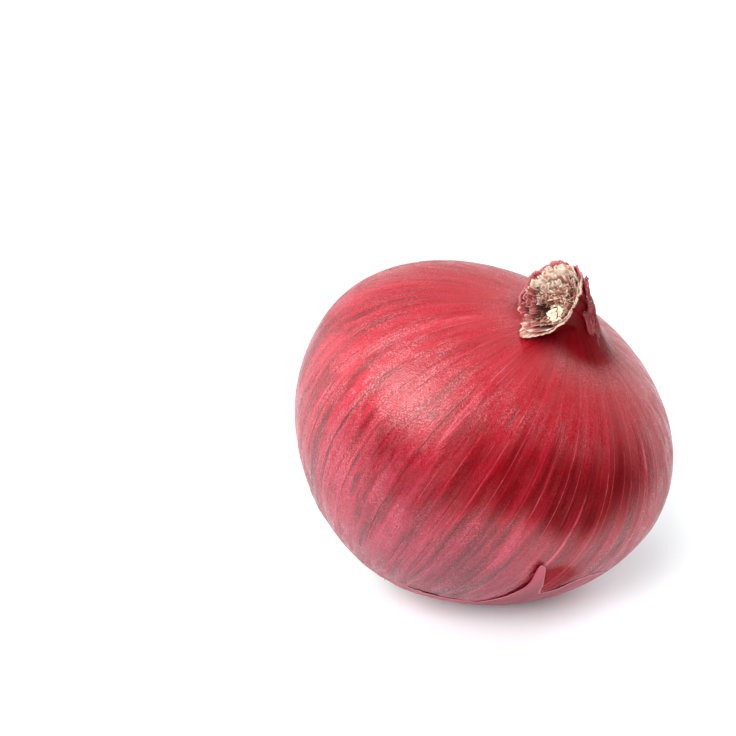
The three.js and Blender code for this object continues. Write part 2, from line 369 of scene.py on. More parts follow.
# painted shadow: dark red on the bulb under the mouth's overhanging rim
NECK_RIM_SHADOW = [(335, 8, 60, 12, 1.3)]
# the crevice between the tongue and the lip of the torn skin: partly the skin's own deep red, partly
# painted shade
TONGUE_CREVICE_SHADE = [(326, 104, 8, 7, 1.5)]
# painted highlight: a pale wash with glints where the key lamp's highlight falls
KEY_HIGHLIGHT_PATCH = [(247, 70, 22, 20, 1.0)]


def patches(around, down, places):
    """Soft patches added up: each is its strength at its middle and falls as a bell curve over its
    half sizes."""
    total = 0
    for at, middle, half_turn, half_height, strength in places:
        sideways = np.abs(bearing(around, at) / half_turn)
        lengthways = np.abs((np.degrees(down) - middle) / half_height)
        total = total + strength * np.exp(-(sideways ** 2.5 + lengthways ** 2.5) * 0.7)
    return total


def facing(around, bearing_degrees, low, high):
    """A smooth step across the bulb, 1 on the side of a bearing."""
    return smooth(low, high, np.cos(around - math.radians(bearing_degrees)))


def colour_zones(around, down, neck):
    """How much of each broad tone the skin has: pinker low down, lighter where the side lamps fall (painted
    light), deep red in a band (partly the skin's own tone, partly painted shade) and round the neck
    (painted shade over a deeper crimson), grainy on the left and below, and a painted highlight with glints
    where the key lamp's highlight falls."""
    depth = np.degrees(down)
    drift = 5 * wander(around, 2, 9, 41) + 3 * wander(around, 20, 60, 42, 0.4)
    deep_shade = patches(around, down + np.radians(drift), DEEP_BAND_SHADE) + patches(around, down, NECK_RIM_SHADOW)
    outer = smooth(30, 50, depth)
    grainy = (0.25 + 0.75 * facing(around, 232, -0.35, 0.55)) * outer
    # painted shade over a deeper crimson: darker round the neck base, most toward bearing 286
    collar_shade = 0.9 * smooth(24, 10, depth) * (0.35 + 0.65 * facing(around, 286.5, -0.5, 0.5))
    collar_shade = np.maximum(collar_shade * (neck < INSIDE_MOUTH), patches(around, down, TONGUE_CREVICE_SHADE))
    return dict(low=smooth(72, 112, depth + drift),
                side_lamp_light=patches(around, down, LAMP_LIT_SIDES),
                deep_shade=np.clip(deep_shade, 0, 1),
                striped=(0.30 + 0.70 * smooth(60, 92, depth)) * outer,
                grainy=grainy,
                lined=(1 - 0.55 * grainy) * smooth(24, 46, depth),
                collar_shade=np.clip(collar_shade, 0, 1),
                lip=smooth(1.93, 2.01, neck),
                mouth=smooth(2.4, 2.6, neck),
                rosy=facing(around, 125, -0.25, 0.35),
                painted_highlight=patches(around, down, KEY_HIGHLIGHT_PATCH))


def make_bulb():
    """Rows from the roots over the belly and the shoulder, up the neck to its rim, and back down the
    inside of the mouth. Low ridges run along the bulb as cosines round it."""
    around = np.arange(BULB_COLUMNS) / BULB_COLUMNS * TURN
    downs = np.linspace(math.pi - 0.13, SHOULDER, 168)
    down, turn = np.meshgrid(downs, around, indexing="ij")
    body = bulb_point(down, turn)
    ridges = 0.06 * wander(turn + 0.05 * np.sin(2 * down), 14, 40, 3, 0.5) + 0.35 * wander(turn, 2, 5, 4)
    ridges *= np.sin(down) ** 1.5
    own = turn - leaning(turn, down)
    tear = np.minimum(tear_line(own - UNDER_EDGE), tear_line(own + UNDER_EDGE))
    under = SKIN_SPACE * smooth(tear - 0.004, tear + 0.03, down)
    body = pressed_in(body, under - ridges)
    body[..., 2] = np.maximum(body[..., 2], -ROOT_FLAT)
    body = laid(body, SKIN_SPACE)

    ups = np.concatenate([np.linspace(0, 1, 24)[1:], np.linspace(1, 2, 27)[1:]])
    up, turn_up = np.meshgrid(ups, around, indexing="ij")
    reach = 2 + 0.06 * wander(around, 3, 12, 21, 0.5) + 0.018 * wander(around, 20, 110, 22, 0.2)
    up = np.where(up > 1, 1 + (up - 1) * (reach - 1), up)
    neck = neck_point(up, turn_up)
    folds = 0.24 * wander(turn_up, 7, 22, 5, 0.5) * smooth(0.1, 1.2, up)
    folds += 0.12 * wander(turn_up + 0.06 * up, 25, 70, 6, 0.4) * smooth(0.9, 1.7, up)
    folds += rolled_lip(turn_up) * smooth(1.6, 2.0, up) ** 2
    middle = inside_neck(up, turn_up, np.zeros_like(up))
    neck = neck + unit(neck - middle) * folds[..., None]

    inner_ups = np.linspace(1, 0, 12)
    share_in, turn_in = np.meshgrid(inner_ups, around, indexing="ij")
    up_in = MOUTH_FLOOR + (reach - 0.02 - MOUTH_FLOOR) * share_in
    inner = inside_neck(up_in, turn_in, np.full_like(up_in, 0.94))
    folds_in = 0.24 * wander(turn_in, 7, 22, 5, 0.5) + rolled_lip(turn_in) * smooth(1.6, 2.0, up_in) ** 2
    middle_in = inside_neck(up_in, turn_in, np.zeros_like(up_in))
    inner = inner + unit(inner - middle_in) * folds_in[..., None]

    rows = np.concatenate([body, laid(neck), laid(inner)])
    start = laid(np.array([ROOT_SHIFT[0], ROOT_SHIFT[1], -ROOT_FLAT]), SKIN_SPACE)
    end = laid(inside_neck(np.array([MOUTH_FLOOR]), np.array([0.0]), np.array([0.0])))[0]
    along = np.concatenate([down, SHOULDER - 0.16 * up, np.full_like(up_in, 0.0)])
    turns = np.concatenate([turn, turn_up, turn_in])
    neck_share = np.concatenate([0 * down, up, 0 * up_in + INSIDE_MOUTH])
    shape = Shape()
    shape.capped(rows, start, end, strand=strand(turns, along), **colour_zones(turns, along, neck_share))
    return shape.piece("onion_bulb", "bulb", "onion_skin")


def rolled_lip(around):
    """How far the lip rolls outwards: along its top edge, and a little at the bottom."""
    top = np.exp(-(bearing(around, 105) / 42) ** 4)
    bottom = np.exp(-(bearing(around, 250) / 35) ** 4)
    return 0.45 * top + 0.6 * bottom + 0.25 * wander(around, 5, 18, 23, 0.5)


# ------------------------------------------------------------------ torn base skin
def make_base_skin():
    """An outer and an inner surface over the bottom of the bulb, joined at the torn edge and round the
    roots. The torn edge lifts off the bulb a little, most of all on the tongue."""
    even = np.arange(640) / 640 * TURN
    at_rip = np.radians(RIP_AT + np.linspace(-1.3, 1.3, 60))
    around = np.sort(np.concatenate([even, at_rip]))
    steps = np.concatenate([np.linspace(0, 0.12, 16), np.linspace(0.12, 1, 40)[1:]])
    step, turn = np.meshgrid(steps, around, indexing="ij")
    tear = tear_line(turn)
    down = tear + (math.radians(SKIN_ENDS) + 0.02 * wander(turn, 5, 30, 31, 0.5) - tear) * step
    from_edge = np.degrees(down - tear)
    lift = (0.05 + 0.10 * wander(turn, 3, 14, 33)) * np.exp(-from_edge / 2.5)
    beside = np.abs(bearing(turn, RIP_AT + 0.8))
    lift += 0.30 * np.exp(-beside / 3) * smooth(145, 100, np.degrees(down))
    lift += 0.25 * tongue(turn) * np.exp(-from_edge / 6.0)
    lift = np.maximum(lift, 0)
    leaned = turn + leaning(turn, down)
    base = bulb_point(down, leaned)
    ridges = 0.35 * wander(leaned, 2, 5, 4) * np.sin(down) ** 1.5
    crumple = 0.06 * wander(turn + 0.3 * np.sin(3 * down), 9, 34, 35, 0.6)
    outward = ridges + crumple + lift
    thick = SKIN * smooth(-0.6, 1.2, from_edge)
    outer = laid(pressed_in(base, -outward), 0.0)
    inner = laid(pressed_in(base, thick - outward), SKIN)
    shape = Shape()
    shape.slab(outer, inner, ring=True, strand=strand(leaned, down), edge=from_edge,
               tongue=tongue(turn) * np.exp(-from_edge / 22))
    return shape.piece("torn_base_skin", "base_skin", "papery_skin")


# ------------------------------------------------------------------ dry neck
HOLLOW = (-0.42, -0.28)                 # the middle of the hollow in the mouth
THREAD = 0.17                           # half the thickness of the hanging thread
CRUMB_WAVES = [(17, 0.4, 1), (23, 1.7, 2), (29, 2.6, 4), (37, 0.9, 5), (46, 2.1, 0.5), (58, 1.2, 2.5)]


def in_mouth(up, x, y):
    """A point in the mouth of the neck from a height and flat coordinates, 1 at the neck's outside."""
    return inside_neck(up, np.arctan2(y, x), np.hypot(x, y))


def dry_leaf(shape, x, y, floor, top, red, thickness=0.035, seed=0):
    """A dried leaf base that stands in the mouth: a path of points across it, carried up from the
    floor to a torn top edge. The wall is creased along its fibres and thins to its edge."""
    count = len(x)
    along = np.linspace(0, 1, count)
    draw = np.random.default_rng(seed)
    torn = 0.07 * wander(along * 5, 1, 7, seed, 0.4) + 0.022 * wander(along * 6, 9, 60, seed + 1, 0.2)
    for place in draw.uniform(0, 1, 5):
        depth, width = draw.uniform(0.08, 0.28), draw.uniform(0.006, 0.016)
        torn = torn - depth * np.exp(-((along - place) / width) ** 2)
    rise = np.linspace(0, 1, 16)[:, None]
    up = floor + (top + torn - floor)[None, :] * rise
    normal_x, normal_y = np.gradient(y), -np.gradient(x)
    length = np.hypot(normal_x, normal_y)
    normal_x, normal_y = normal_x / length, normal_y / length
    crease = 0.020 * wander(along * 6, 3, 14, seed + 2, 0.3) * (0.4 + rise)
    crease = crease + 0.008 * wander(along * 6 + 0.15 * rise, 20, 60, seed + 3, 0.2)
    bend = 0.05 * wander(along * 4, 1, 5, seed + 4) * rise ** 2
    half = thickness / 2 * (1 - 0.75 * rise ** 3)

    def side(sign):
        offset = crease + bend + sign * half
        return laid(in_mouth(up, x + normal_x * offset, y + normal_y * offset))

    fibre = np.broadcast_to(along * count / 60, up.shape)
    # rise, its share of the height, sets the painted shade low in the mouth
    shape.slab(side(1), side(-1), strand=np.stack([fibre, 0 * up + seed, up], -1), rise=0 * up + rise,
               red=0 * up + red)


def arc(start, end, share, wave=0.03, seed=0, count=150):
    """A path round the mouth from one bearing to another, in degrees, with a wavy distance out."""
    turn = np.radians(np.linspace(start, end, count))
    out = np.linspace(*share, count) if isinstance(share, tuple) else share
    out = out + wave * wander(turn * 2, 1, 9, seed, 0.5)
    return out * np.cos(turn), out * np.sin(turn)


def chord(start, end, bow, wave=0.03, seed=0, count=150):
    """A path across the mouth between two points given by bearing and distance out, bowed sideways."""
    t = np.linspace(0, 1, count)
    ends = [np.array([out * math.cos(math.radians(at)), out * math.sin(math.radians(at))])
            for at, out in (start, end)]
    across = np.array([-(ends[1] - ends[0])[1], (ends[1] - ends[0])[0]])
    bowed = bow * 4 * t * (1 - t) + wave * wander(t * 7, 1, 7, seed, 0.5)
    return tuple(ends[0][k] + (ends[1] - ends[0])[k] * t + across[k] * bowed for k in (0, 1))


def make_neck_leaves():
    """Torn leaf bases inside the mouth: a whole one against the skin and parts of others inside it,
    each with its path, the height of its top and how red it is."""
    shape = Shape()
    low = MOUTH_FLOOR + 0.03

    def redness(x, y):
        """Redder towards the left of the mouth, with some wandering."""
        turn = np.arctan2(y, x)
        return 0.35 + 0.55 * np.cos(turn - 3.6) + 0.25 * wander(turn, 2, 9, 50)

    leaves = [(arc(-160, 196, 0.88, 0.02, 51, 420), 1.98, None),
              (arc(98, 150, (0.74, 0.80), 0.03, 52, 100), 2.00, -0.35),
              (arc(150, 206, (0.80, 0.68), 0.04, 61, 100), 2.0, 0.95),
              (arc(36, 100, (0.74, 0.72), 0.03, 53, 110), 1.98, 0.35),
              (arc(28, 60, (0.56, 0.60), 0.03, 54, 60), 1.92, 0.85),
              (arc(80, 170, (0.56, 0.50), 0.04, 62, 130), 1.90, 0.12),
              (chord((196, 0.50), (48, 0.60), 0.16, 0.05, 55), 1.86, 0.45),
              (chord((204, 0.46), (36, 0.62), 0.06, 0.05, 56), 1.76, 0.55),
              (arc(300, 352, (0.80, 0.72), 0.02, 58, 90), 1.93, 0.60),
              (arc(222, 306, (0.80, 0.72), 0.03, 59, 130), 1.80, 0.80),
              (arc(170, 232, (0.70, 0.62), 0.04, 63, 90), 1.80, 0.85),
              (arc(62, 162, 0.915, 0.01, 64, 160), 2.01, -0.05)]
    for number, ((x, y), top, red) in enumerate(leaves):
        dry_leaf(shape, x, y, low, top, redness(x, y) if red is None else red, seed=100 + 10 * number)
    return shape.piece("dry_leaf_bases", "neck_sheath", "papery_skin")


def filling_height(x, y):
    """The height of the filling over the mouth: a chunk that stands up, a hollow, crumbs as cosine waves
    in several directions, and small pits."""
    def lump(at, out, width, height):
        cx, cy = out * math.cos(math.radians(at)), out * math.sin(math.radians(at))
        return height * np.exp(-(((x - cx) ** 2 + (y - cy) ** 2) / width ** 2) ** 1.5)

    up = 1.56 + lump(302, 0.42, 0.33, 0.30) + lump(208, 0.46, 0.36, -0.34) + lump(75, 0.3, 0.3, 0.10)
    for waves, heading, phase in CRUMB_WAVES:
        up = up + 0.022 * np.cos(waves * (math.cos(heading) * x + math.sin(heading) * y) + phase)
    pits = np.cos(31 * x + 2 * np.sin(9 * y)) * np.cos(27 * y + 2 * np.sin(11 * x))
    return np.maximum(up - 0.06 * smooth(0.35, 0.9, pits), MOUTH_FLOOR + 0.05)


def neck_fibres(shape):
    """Loose fibres across the filling: short bowed strands that mostly run one way, and are thinner and
    deeper in the hollow, and darker there with painted shade."""
    draw = np.random.default_rng(71)
    count = 190
    t = np.linspace(-0.5, 0.5, 9)
    at, out = draw.uniform(0, TURN, count), 0.78 * np.sqrt(draw.uniform(0, 1, count))
    middle_x, middle_y = out * np.cos(at), out * np.sin(at)
    heading = (math.radians(42) + draw.normal(0, 0.35, count))[:, None]
    length = draw.uniform(0.15, 0.5, count)[:, None]
    bow = draw.normal(0, 0.12, count)[:, None] * 4 * t * t
    x = middle_x[:, None] + length * (np.cos(heading) * t - np.sin(heading) * bow)
    y = middle_y[:, None] + length * (np.sin(heading) * t + np.cos(heading) * bow)
    inward = np.minimum(1, 0.84 / np.hypot(x, y))
    in_hollow = np.exp(-((middle_x - HOLLOW[0]) ** 2 + (middle_y - HOLLOW[1]) ** 2) / 0.12)
    base = 1.68 + draw.uniform(-0.16, 0.16, count) - 0.22 * in_hollow
    up = base[:, None] + draw.normal(0, 0.14, count)[:, None] * t * 2 + 0.05 * t * t
    taper = 1 - (2 * np.abs(t)) ** 3 * 0.85
    thickness = draw.uniform(0.06, 0.16, count) * MM * (1 - 0.6 * in_hollow)
    # painted shade: fibres in the hollow are made darker
    pale = draw.uniform(0.25, 0.95, count) * (1 - 0.8 * in_hollow)
    shape.tubes(laid(in_mouth(up, x * inward, y * inward)), thickness[:, None] * taper,
                pale=pale[:, None] + 0 * t)


def make_neck_filling():
    """The pale crumbly filling: a lumpy surface over the mouth, closed below, with fibres across it."""
    columns, rows = 220, 44
    turn, share = np.meshgrid(np.arange(columns) / columns * TURN, np.linspace(0.02, 0.82, rows))
    x, y = share * np.cos(turn), share * np.sin(turn)
    up = filling_height(x, y)
    under = np.full((1, columns), MOUTH_FLOOR + 0.02)
    surface = np.concatenate([laid(in_mouth(up, x, y)), laid(in_mouth(under, x[-1:], y[-1:]))])
    start, end = (laid(in_mouth(np.array([height]), np.array([0.001]), np.array([0.0])))[0]
                  for height in (up[0].mean(), MOUTH_FLOOR + 0.02))
    # pale falls with the surface's height: the painted shade of the low parts
    pale = np.concatenate([np.clip((up - 1.35) / 0.45, 0, 1), 0 * under])
    shape = Shape()
    shape.capped(surface, start, end, pale=pale)
    neck_fibres(shape)
    return shape.piece("dry_neck_filling", "neck_core", "dry_neck")


def hanging_thread(shape):
    """A thread torn loose from the neck, darkened with painted shade, which runs down beside it and
    stands a little off it.
    """
    t = np.linspace(0, 1, 24)
    up, around = 1.35 - 0.90 * t, np.radians(15 - 22 * t + 2 * np.sin(6 * t))
    point, middle = neck_point(up, around), inside_neck(up, around, 0 * up)
    path = laid(point + unit(point - middle) * (0.30 + 0.35 * np.sin(math.pi * t))[:, None])
    # rise 0.55 lays most of the leaves' painted shade over the thread
    shape.tubes(path[None], (THREAD * MM * (1 - 0.6 * t ** 2))[None], strand=np.zeros((1, t.size, 3)),
                rise=np.full((1, t.size), 0.55), red=np.full((1, t.size), 1.5))


def make_neck_scraps():
    """Scraps of torn skin that stand off the outside of the neck. Each is a strip of the neck's own
    surface, moved outwards more and more towards its tip, with creases along it and torn sides."""
    scraps = [("neck_scrap_low", "neck_scrap_1", 16, 44, 0.45, 1.55, 0.35),
              ("neck_scrap_high", "neck_scrap_2", 40, 50, 1.10, 1.90, 0.45),
              ("neck_scrap_front", "neck_scrap_3", 352, 30, 0.60, 1.50, 0.1)]
    made = []
    for number, (name, replaced, at, width, low, high, curl) in enumerate(scraps):
        seed = 80 + number * 5
        side, rise = np.meshgrid(np.linspace(-1, 1, 60), np.linspace(0, 1, 40))
        torn = 0.10 * wander(side * 3, 1, 6, seed, 0.5) + 0.05 * wander(side * 3, 8, 30, seed + 1, 0.3)
        up = low + (high - low) * rise * (1 + torn * rise)
        half = width / 2 * (0.35 + 0.65 * smooth(0, 0.4, rise) - 0.45 * rise ** 2
                            + 0.10 * wander(rise * 5, 1, 8, seed + 2, 0.4))
        around = np.radians(at + side * half)
        crease = 0.34 * wander(side * 3 + 0.6 * rise, 2, 16, seed + 3, 0.2)
        lift = curl * rise ** 2 + crease * (0.3 + rise) + 0.35 * np.abs(side) ** 3 * rise
        lift += 0.45 * smooth(0, 0.3, rise) - 0.35 + 0.10 * wander(side * 9 + rise, 4, 30, seed + 4, 0.2)
        point, middle = neck_point(up, around), inside_neck(up, around, np.zeros_like(up))
        away = unit(point - middle)
        outer, inner = (laid(point + away * (lift + thick)[..., None]) for thick in (0.14, 0.0))
        shape = Shape()
        edge = np.minimum(1 - np.abs(side), 1 - rise)
        # rise held at 0.85 keeps most of the leaves' painted shade off the scraps
        shape.slab(outer, inner, strand=np.stack([side * 2, 0 * side + seed, up], -1), rise=0.85 + 0 * rise,
                   red=1.5 - 0.7 * smooth(0.06, 0.0, edge))
        if name == "neck_scrap_low":
            hanging_thread(shape)
        made.append(shape.piece(name, replaced, "papery_skin"))
    return made


# ------------------------------------------------------------------ roots
def make_roots():
    """The corky root plate and its dried roots: tapered strands that leave the plate in rings, splay
    out and lie against the floor where they reach it."""
    shape = Shape()
    columns, rows = 120, 24
    turn, share = np.meshgrid(np.arange(columns) / columns * TURN, np.linspace(0.03, 1, rows))
    radius = PLATE_RADIUS * (1 + 0.05 * wander(turn, 3, 14, 91))
    rough = 1 + 0.12 * wander(turn + 3 * share, 4, 20, 92)
    low = -ROOT_FLAT - PLATE_LIFT - PLATE_HEIGHT * (1 - share ** 4) * rough
    plate = np.stack([ROOT_SHIFT[0] + share * radius * np.cos(turn),
                      ROOT_SHIFT[1] + share * radius * np.sin(turn), low], -1)
    start = np.array([*ROOT_SHIFT, low[0].mean()])
    shape.capped(laid(plate, 0.5), laid(start), laid(np.array([*ROOT_SHIFT, -ROOT_FLAT - PLATE_LIFT])),
                 pale=0.25 + 0.3 * share)
    draw = np.random.default_rng(93)
    count, steps = 110, 12
    out = 4.3 * np.sqrt(draw.uniform(0.02, 1, count))
    at = draw.uniform(0, TURN, count)
    splay = 0.10 + 0.16 * out + draw.normal(0, 0.12, count)
    length = draw.uniform(1.2, 3.0, count)
    t = np.linspace(0, 1, steps)[None]
    bend = splay[:, None] * (0.6 + 0.9 * t)
    twist = at[:, None] + draw.normal(0, 0.5, count)[:, None] * t
    step = (length / steps)[:, None]
    x = ROOT_SHIFT[0] + (out * np.cos(at))[:, None] + np.cumsum(np.sin(bend) * np.cos(twist) * step, 1)
    y = ROOT_SHIFT[1] + (out * np.sin(at))[:, None] + np.cumsum(np.sin(bend) * np.sin(twist) * step, 1)
    z = -ROOT_FLAT - 0.9 - np.cumsum(np.cos(bend) * step, 1)
    paths = laid(np.stack([x, y, z], -1), 0.35)
    taper = (1 - 0.7 * t ** 2) * draw.uniform(0.16, 0.34, count)[:, None] * MM
    shape.tubes(paths, taper, 6, pale=draw.uniform(0.4, 1.0, count)[:, None] + 0 * t)
    return shape.piece("root_plate_and_roots", "root_tuft", "dry_roots")


# ------------------------------------------------------------------ materials
class Nodes:
    """Short calls that add nodes to a node tree."""

    def __init__(self, tree):
        self.tree = tree

    def node(self, kind, settings=None, **sockets):
        made = self.tree.nodes.new("ShaderNode" + kind)
        for key, value in (settings or {}).items():
            setattr(made, key, value)
        for key, value in sockets.items():
            self.plug(made.inputs[key.replace("_", " ")], value)
        return made

    def plug(self, socket, value):
        if isinstance(value, bpy.types.NodeSocket):
            self.tree.links.new(value, socket)
        else:
            socket.default_value = value

    def math(self, operation, *values):
        made = self.node("Math", {"operation": operation})
        for socket, value in zip(made.inputs, values):
            self.plug(socket, value)
        return made.outputs["Value"]

    def times(self, first, second):
        return self.math("MULTIPLY", first, second)

    def ramp(self, value, low, high, to_low=0.0, to_high=1.0):
        """A smooth step of value from low to high, as to_low to to_high."""
        made = self.node("MapRange", {"interpolation_type": "SMOOTHSTEP"})
        for socket, number in zip(made.inputs, (value, low, high, to_low, to_high)):
            self.plug(socket, number)
        return made.outputs["Result"]


class Finish(Nodes):
    """A material and short calls that build it up."""

    def __init__(self, name):
        self.material = bpy.data.materials.new(name)
        self.material.use_nodes = True
        super().__init__(self.material.node_tree)
        self.shader = self.tree.nodes["Principled BSDF"]
        self.colour = None

    def stored(self, name):
        return self.node("Attribute", {"attribute_name": name}).outputs["Fac"]

    def grain(self, across, along, seed=0.0):
        """Stored strand coordinates, stretched for a streaky pattern."""
        made = self.node("Attribute", {"attribute_name": "strand"})
        return self.node("Mapping", Vector=made.outputs["Vector"], Scale=(across, across, along),
                         Location=(seed, seed * 1.7, seed * 0.6)).outputs["Vector"]

    def place(self):
        return self.node("TexCoord").outputs["Object"]

    def noise(self, vector, scale=1.0, detail=2.0, roughness=0.5, distortion=0.0):
        return self.node("TexNoise", Vector=vector, Scale=scale, Detail=detail, Roughness=roughness,
                         Distortion=distortion).outputs["Fac"]

    def mix(self, factor, first, second):
        made = self.node("Mix", {"data_type": "RGBA"})
        self.plug(made.inputs["Factor"], factor)
        ends = [socket for socket in made.inputs if socket.type == "RGBA"]
        for socket, colour in zip(ends, (first, second)):
            self.plug(socket, (*colour, 1) if isinstance(colour, tuple) else colour)
        return next(socket for socket in made.outputs if socket.type == "RGBA")

    def paint(self, cover, colour):
        """Lays a colour over the ones so far, as far as cover says."""
        self.colour = self.mix(cover, self.colour, colour)

    def vein(self, value, width):
        """1 along the line where a noise value passes one half, 0 a width away."""
        gap = self.math("ABSOLUTE", self.math("SUBTRACT", value, 0.5))
        return self.ramp(gap, width, 0.0)

    def bump(self, height, distance, strength=1.0):
        return self.node("Bump", Height=height, Distance=distance, Strength=strength).outputs["Normal"]

    def set(self, **sockets):
        for key, value in sockets.items():
            self.plug(self.shader.inputs[key.replace("_", " ")], value)


# The skin's main tones: on the shoulder, and low down
CRIMSON, ROSE = (0.36, 0.006, 0.013), (0.23, 0.011, 0.034)
LIGHT, LIGHT_LOW = (0.52, 0.022, 0.046), (0.38, 0.032, 0.072)
DIM, DIM_LOW = (0.17, 0.003, 0.007), (0.095, 0.005, 0.012)

# Tones of its patches, veins and specks. The lamp-lit coral is painted light, the deep and collar
# shades are painted shade, the highlight wash and glint a painted highlight, and the pink speck partly
# a painted glint.
LAMP_LIT_CORAL = (0.46, 0.016, 0.036)
DEEP_SHADE = (0.10, 0.001, 0.002)
COLLAR_SHADE = (0.21, 0.001, 0.004)
DULL = (0.15, 0.009, 0.010)
VEIN_PINK = (0.72, 0.12, 0.16)
VEIN_DARK = (0.10, 0.003, 0.006)
PINK_SPECK_GLINT = (0.72, 0.22, 0.25)
HIGHLIGHT_WASH, HIGHLIGHT_GLINT = (0.80, 0.22, 0.24), (0.85, 0.40, 0.40)

# The cut neck and the roots
CREAM, WINE = (0.84, 0.75, 0.60), (0.26, 0.010, 0.025)
LIP_CREAM, LIP_PINK = (0.80, 0.60, 0.46), (0.66, 0.22, 0.24)
RUST, DARK_RUST = (0.40, 0.12, 0.09), (0.13, 0.03, 0.02)
INNER_RUST, STAIN = (0.45, 0.12, 0.10), (0.12, 0.02, 0.016)
LEAF_RUST, LEAF_DARK = (0.40, 0.11, 0.09), (0.14, 0.03, 0.02)
STRAW = (0.50, 0.33, 0.14)


def speckle(skin, zone, clumps, dim):
    """Pale and dark specks: a few on grainy skin, the pale ones partly painted glints, and many in the
    painted highlight with its pale wash and glints.
    """
    dots = skin.noise(skin.place(), scale=3300, detail=2, roughness=0.7)
    grainy = skin.times(zone["grainy"], skin.ramp(clumps, 0.38, 0.58, 0.2, 1.0))
    grainy = skin.times(grainy, skin.ramp(zone["deep_shade"], 0.1, 0.7, 1.0, 0.15))
    # pale pink specks on grainy skin: partly the skin's own grain, partly painted glints of its sparkle
    skin.paint(skin.times(grainy, skin.ramp(dots, 0.50, 0.66, 0.0, 0.34)), PINK_SPECK_GLINT)
    skin.paint(skin.times(grainy, skin.ramp(dots, 0.50, 0.36, 0.0, 0.50)), dim)
    highlight_cover = skin.times(zone["painted_highlight"], skin.ramp(clumps, 0.42, 0.62, 0.0, 1.0))
    highlight_cover = skin.times(highlight_cover, skin.ramp(zone["deep_shade"], 0.05, 0.5, 1.0, 0.0))
    # painted highlight: a pale wash and pale glints; the dark specks are the skin's grain
    skin.paint(skin.times(highlight_cover, 0.12), HIGHLIGHT_WASH)
    skin.paint(skin.times(highlight_cover, skin.ramp(dots, 0.50, 0.62, 0.0, 0.32)), HIGHLIGHT_GLINT)
    skin.paint(skin.times(highlight_cover, skin.ramp(dots, 0.48, 0.36, 0.0, 0.60)), dim)


def colour_mouth(skin, zone, clumps, streaks):
    """The inside of the cut neck and its mottled lip."""
    inside = skin.mix(zone["rosy"], CREAM, WINE)
    inside = skin.mix(skin.ramp(clumps, 0.46, 0.58, 0.0, 0.75), inside, INNER_RUST)
    inside = skin.mix(skin.ramp(streaks, 0.5, 0.36, 0.0, 0.9), inside, STAIN)
    skin.paint(zone["mouth"], inside)
    rim = skin.mix(zone["rosy"], LIP_CREAM, LIP_PINK)
    skin.paint(skin.times(zone["lip"], skin.math("SUBTRACT", 1.0, zone["mouth"])), rim)
    spots = skin.noise(skin.place(), scale=800, detail=4, roughness=0.7)
    skin.paint(skin.times(zone["lip"], skin.ramp(spots, 0.50, 0.58, 0.0, 0.75)), RUST)
    skin.paint(skin.times(zone["lip"], skin.ramp(spots, 0.42, 0.34, 0.0, 0.80)), DARK_RUST)


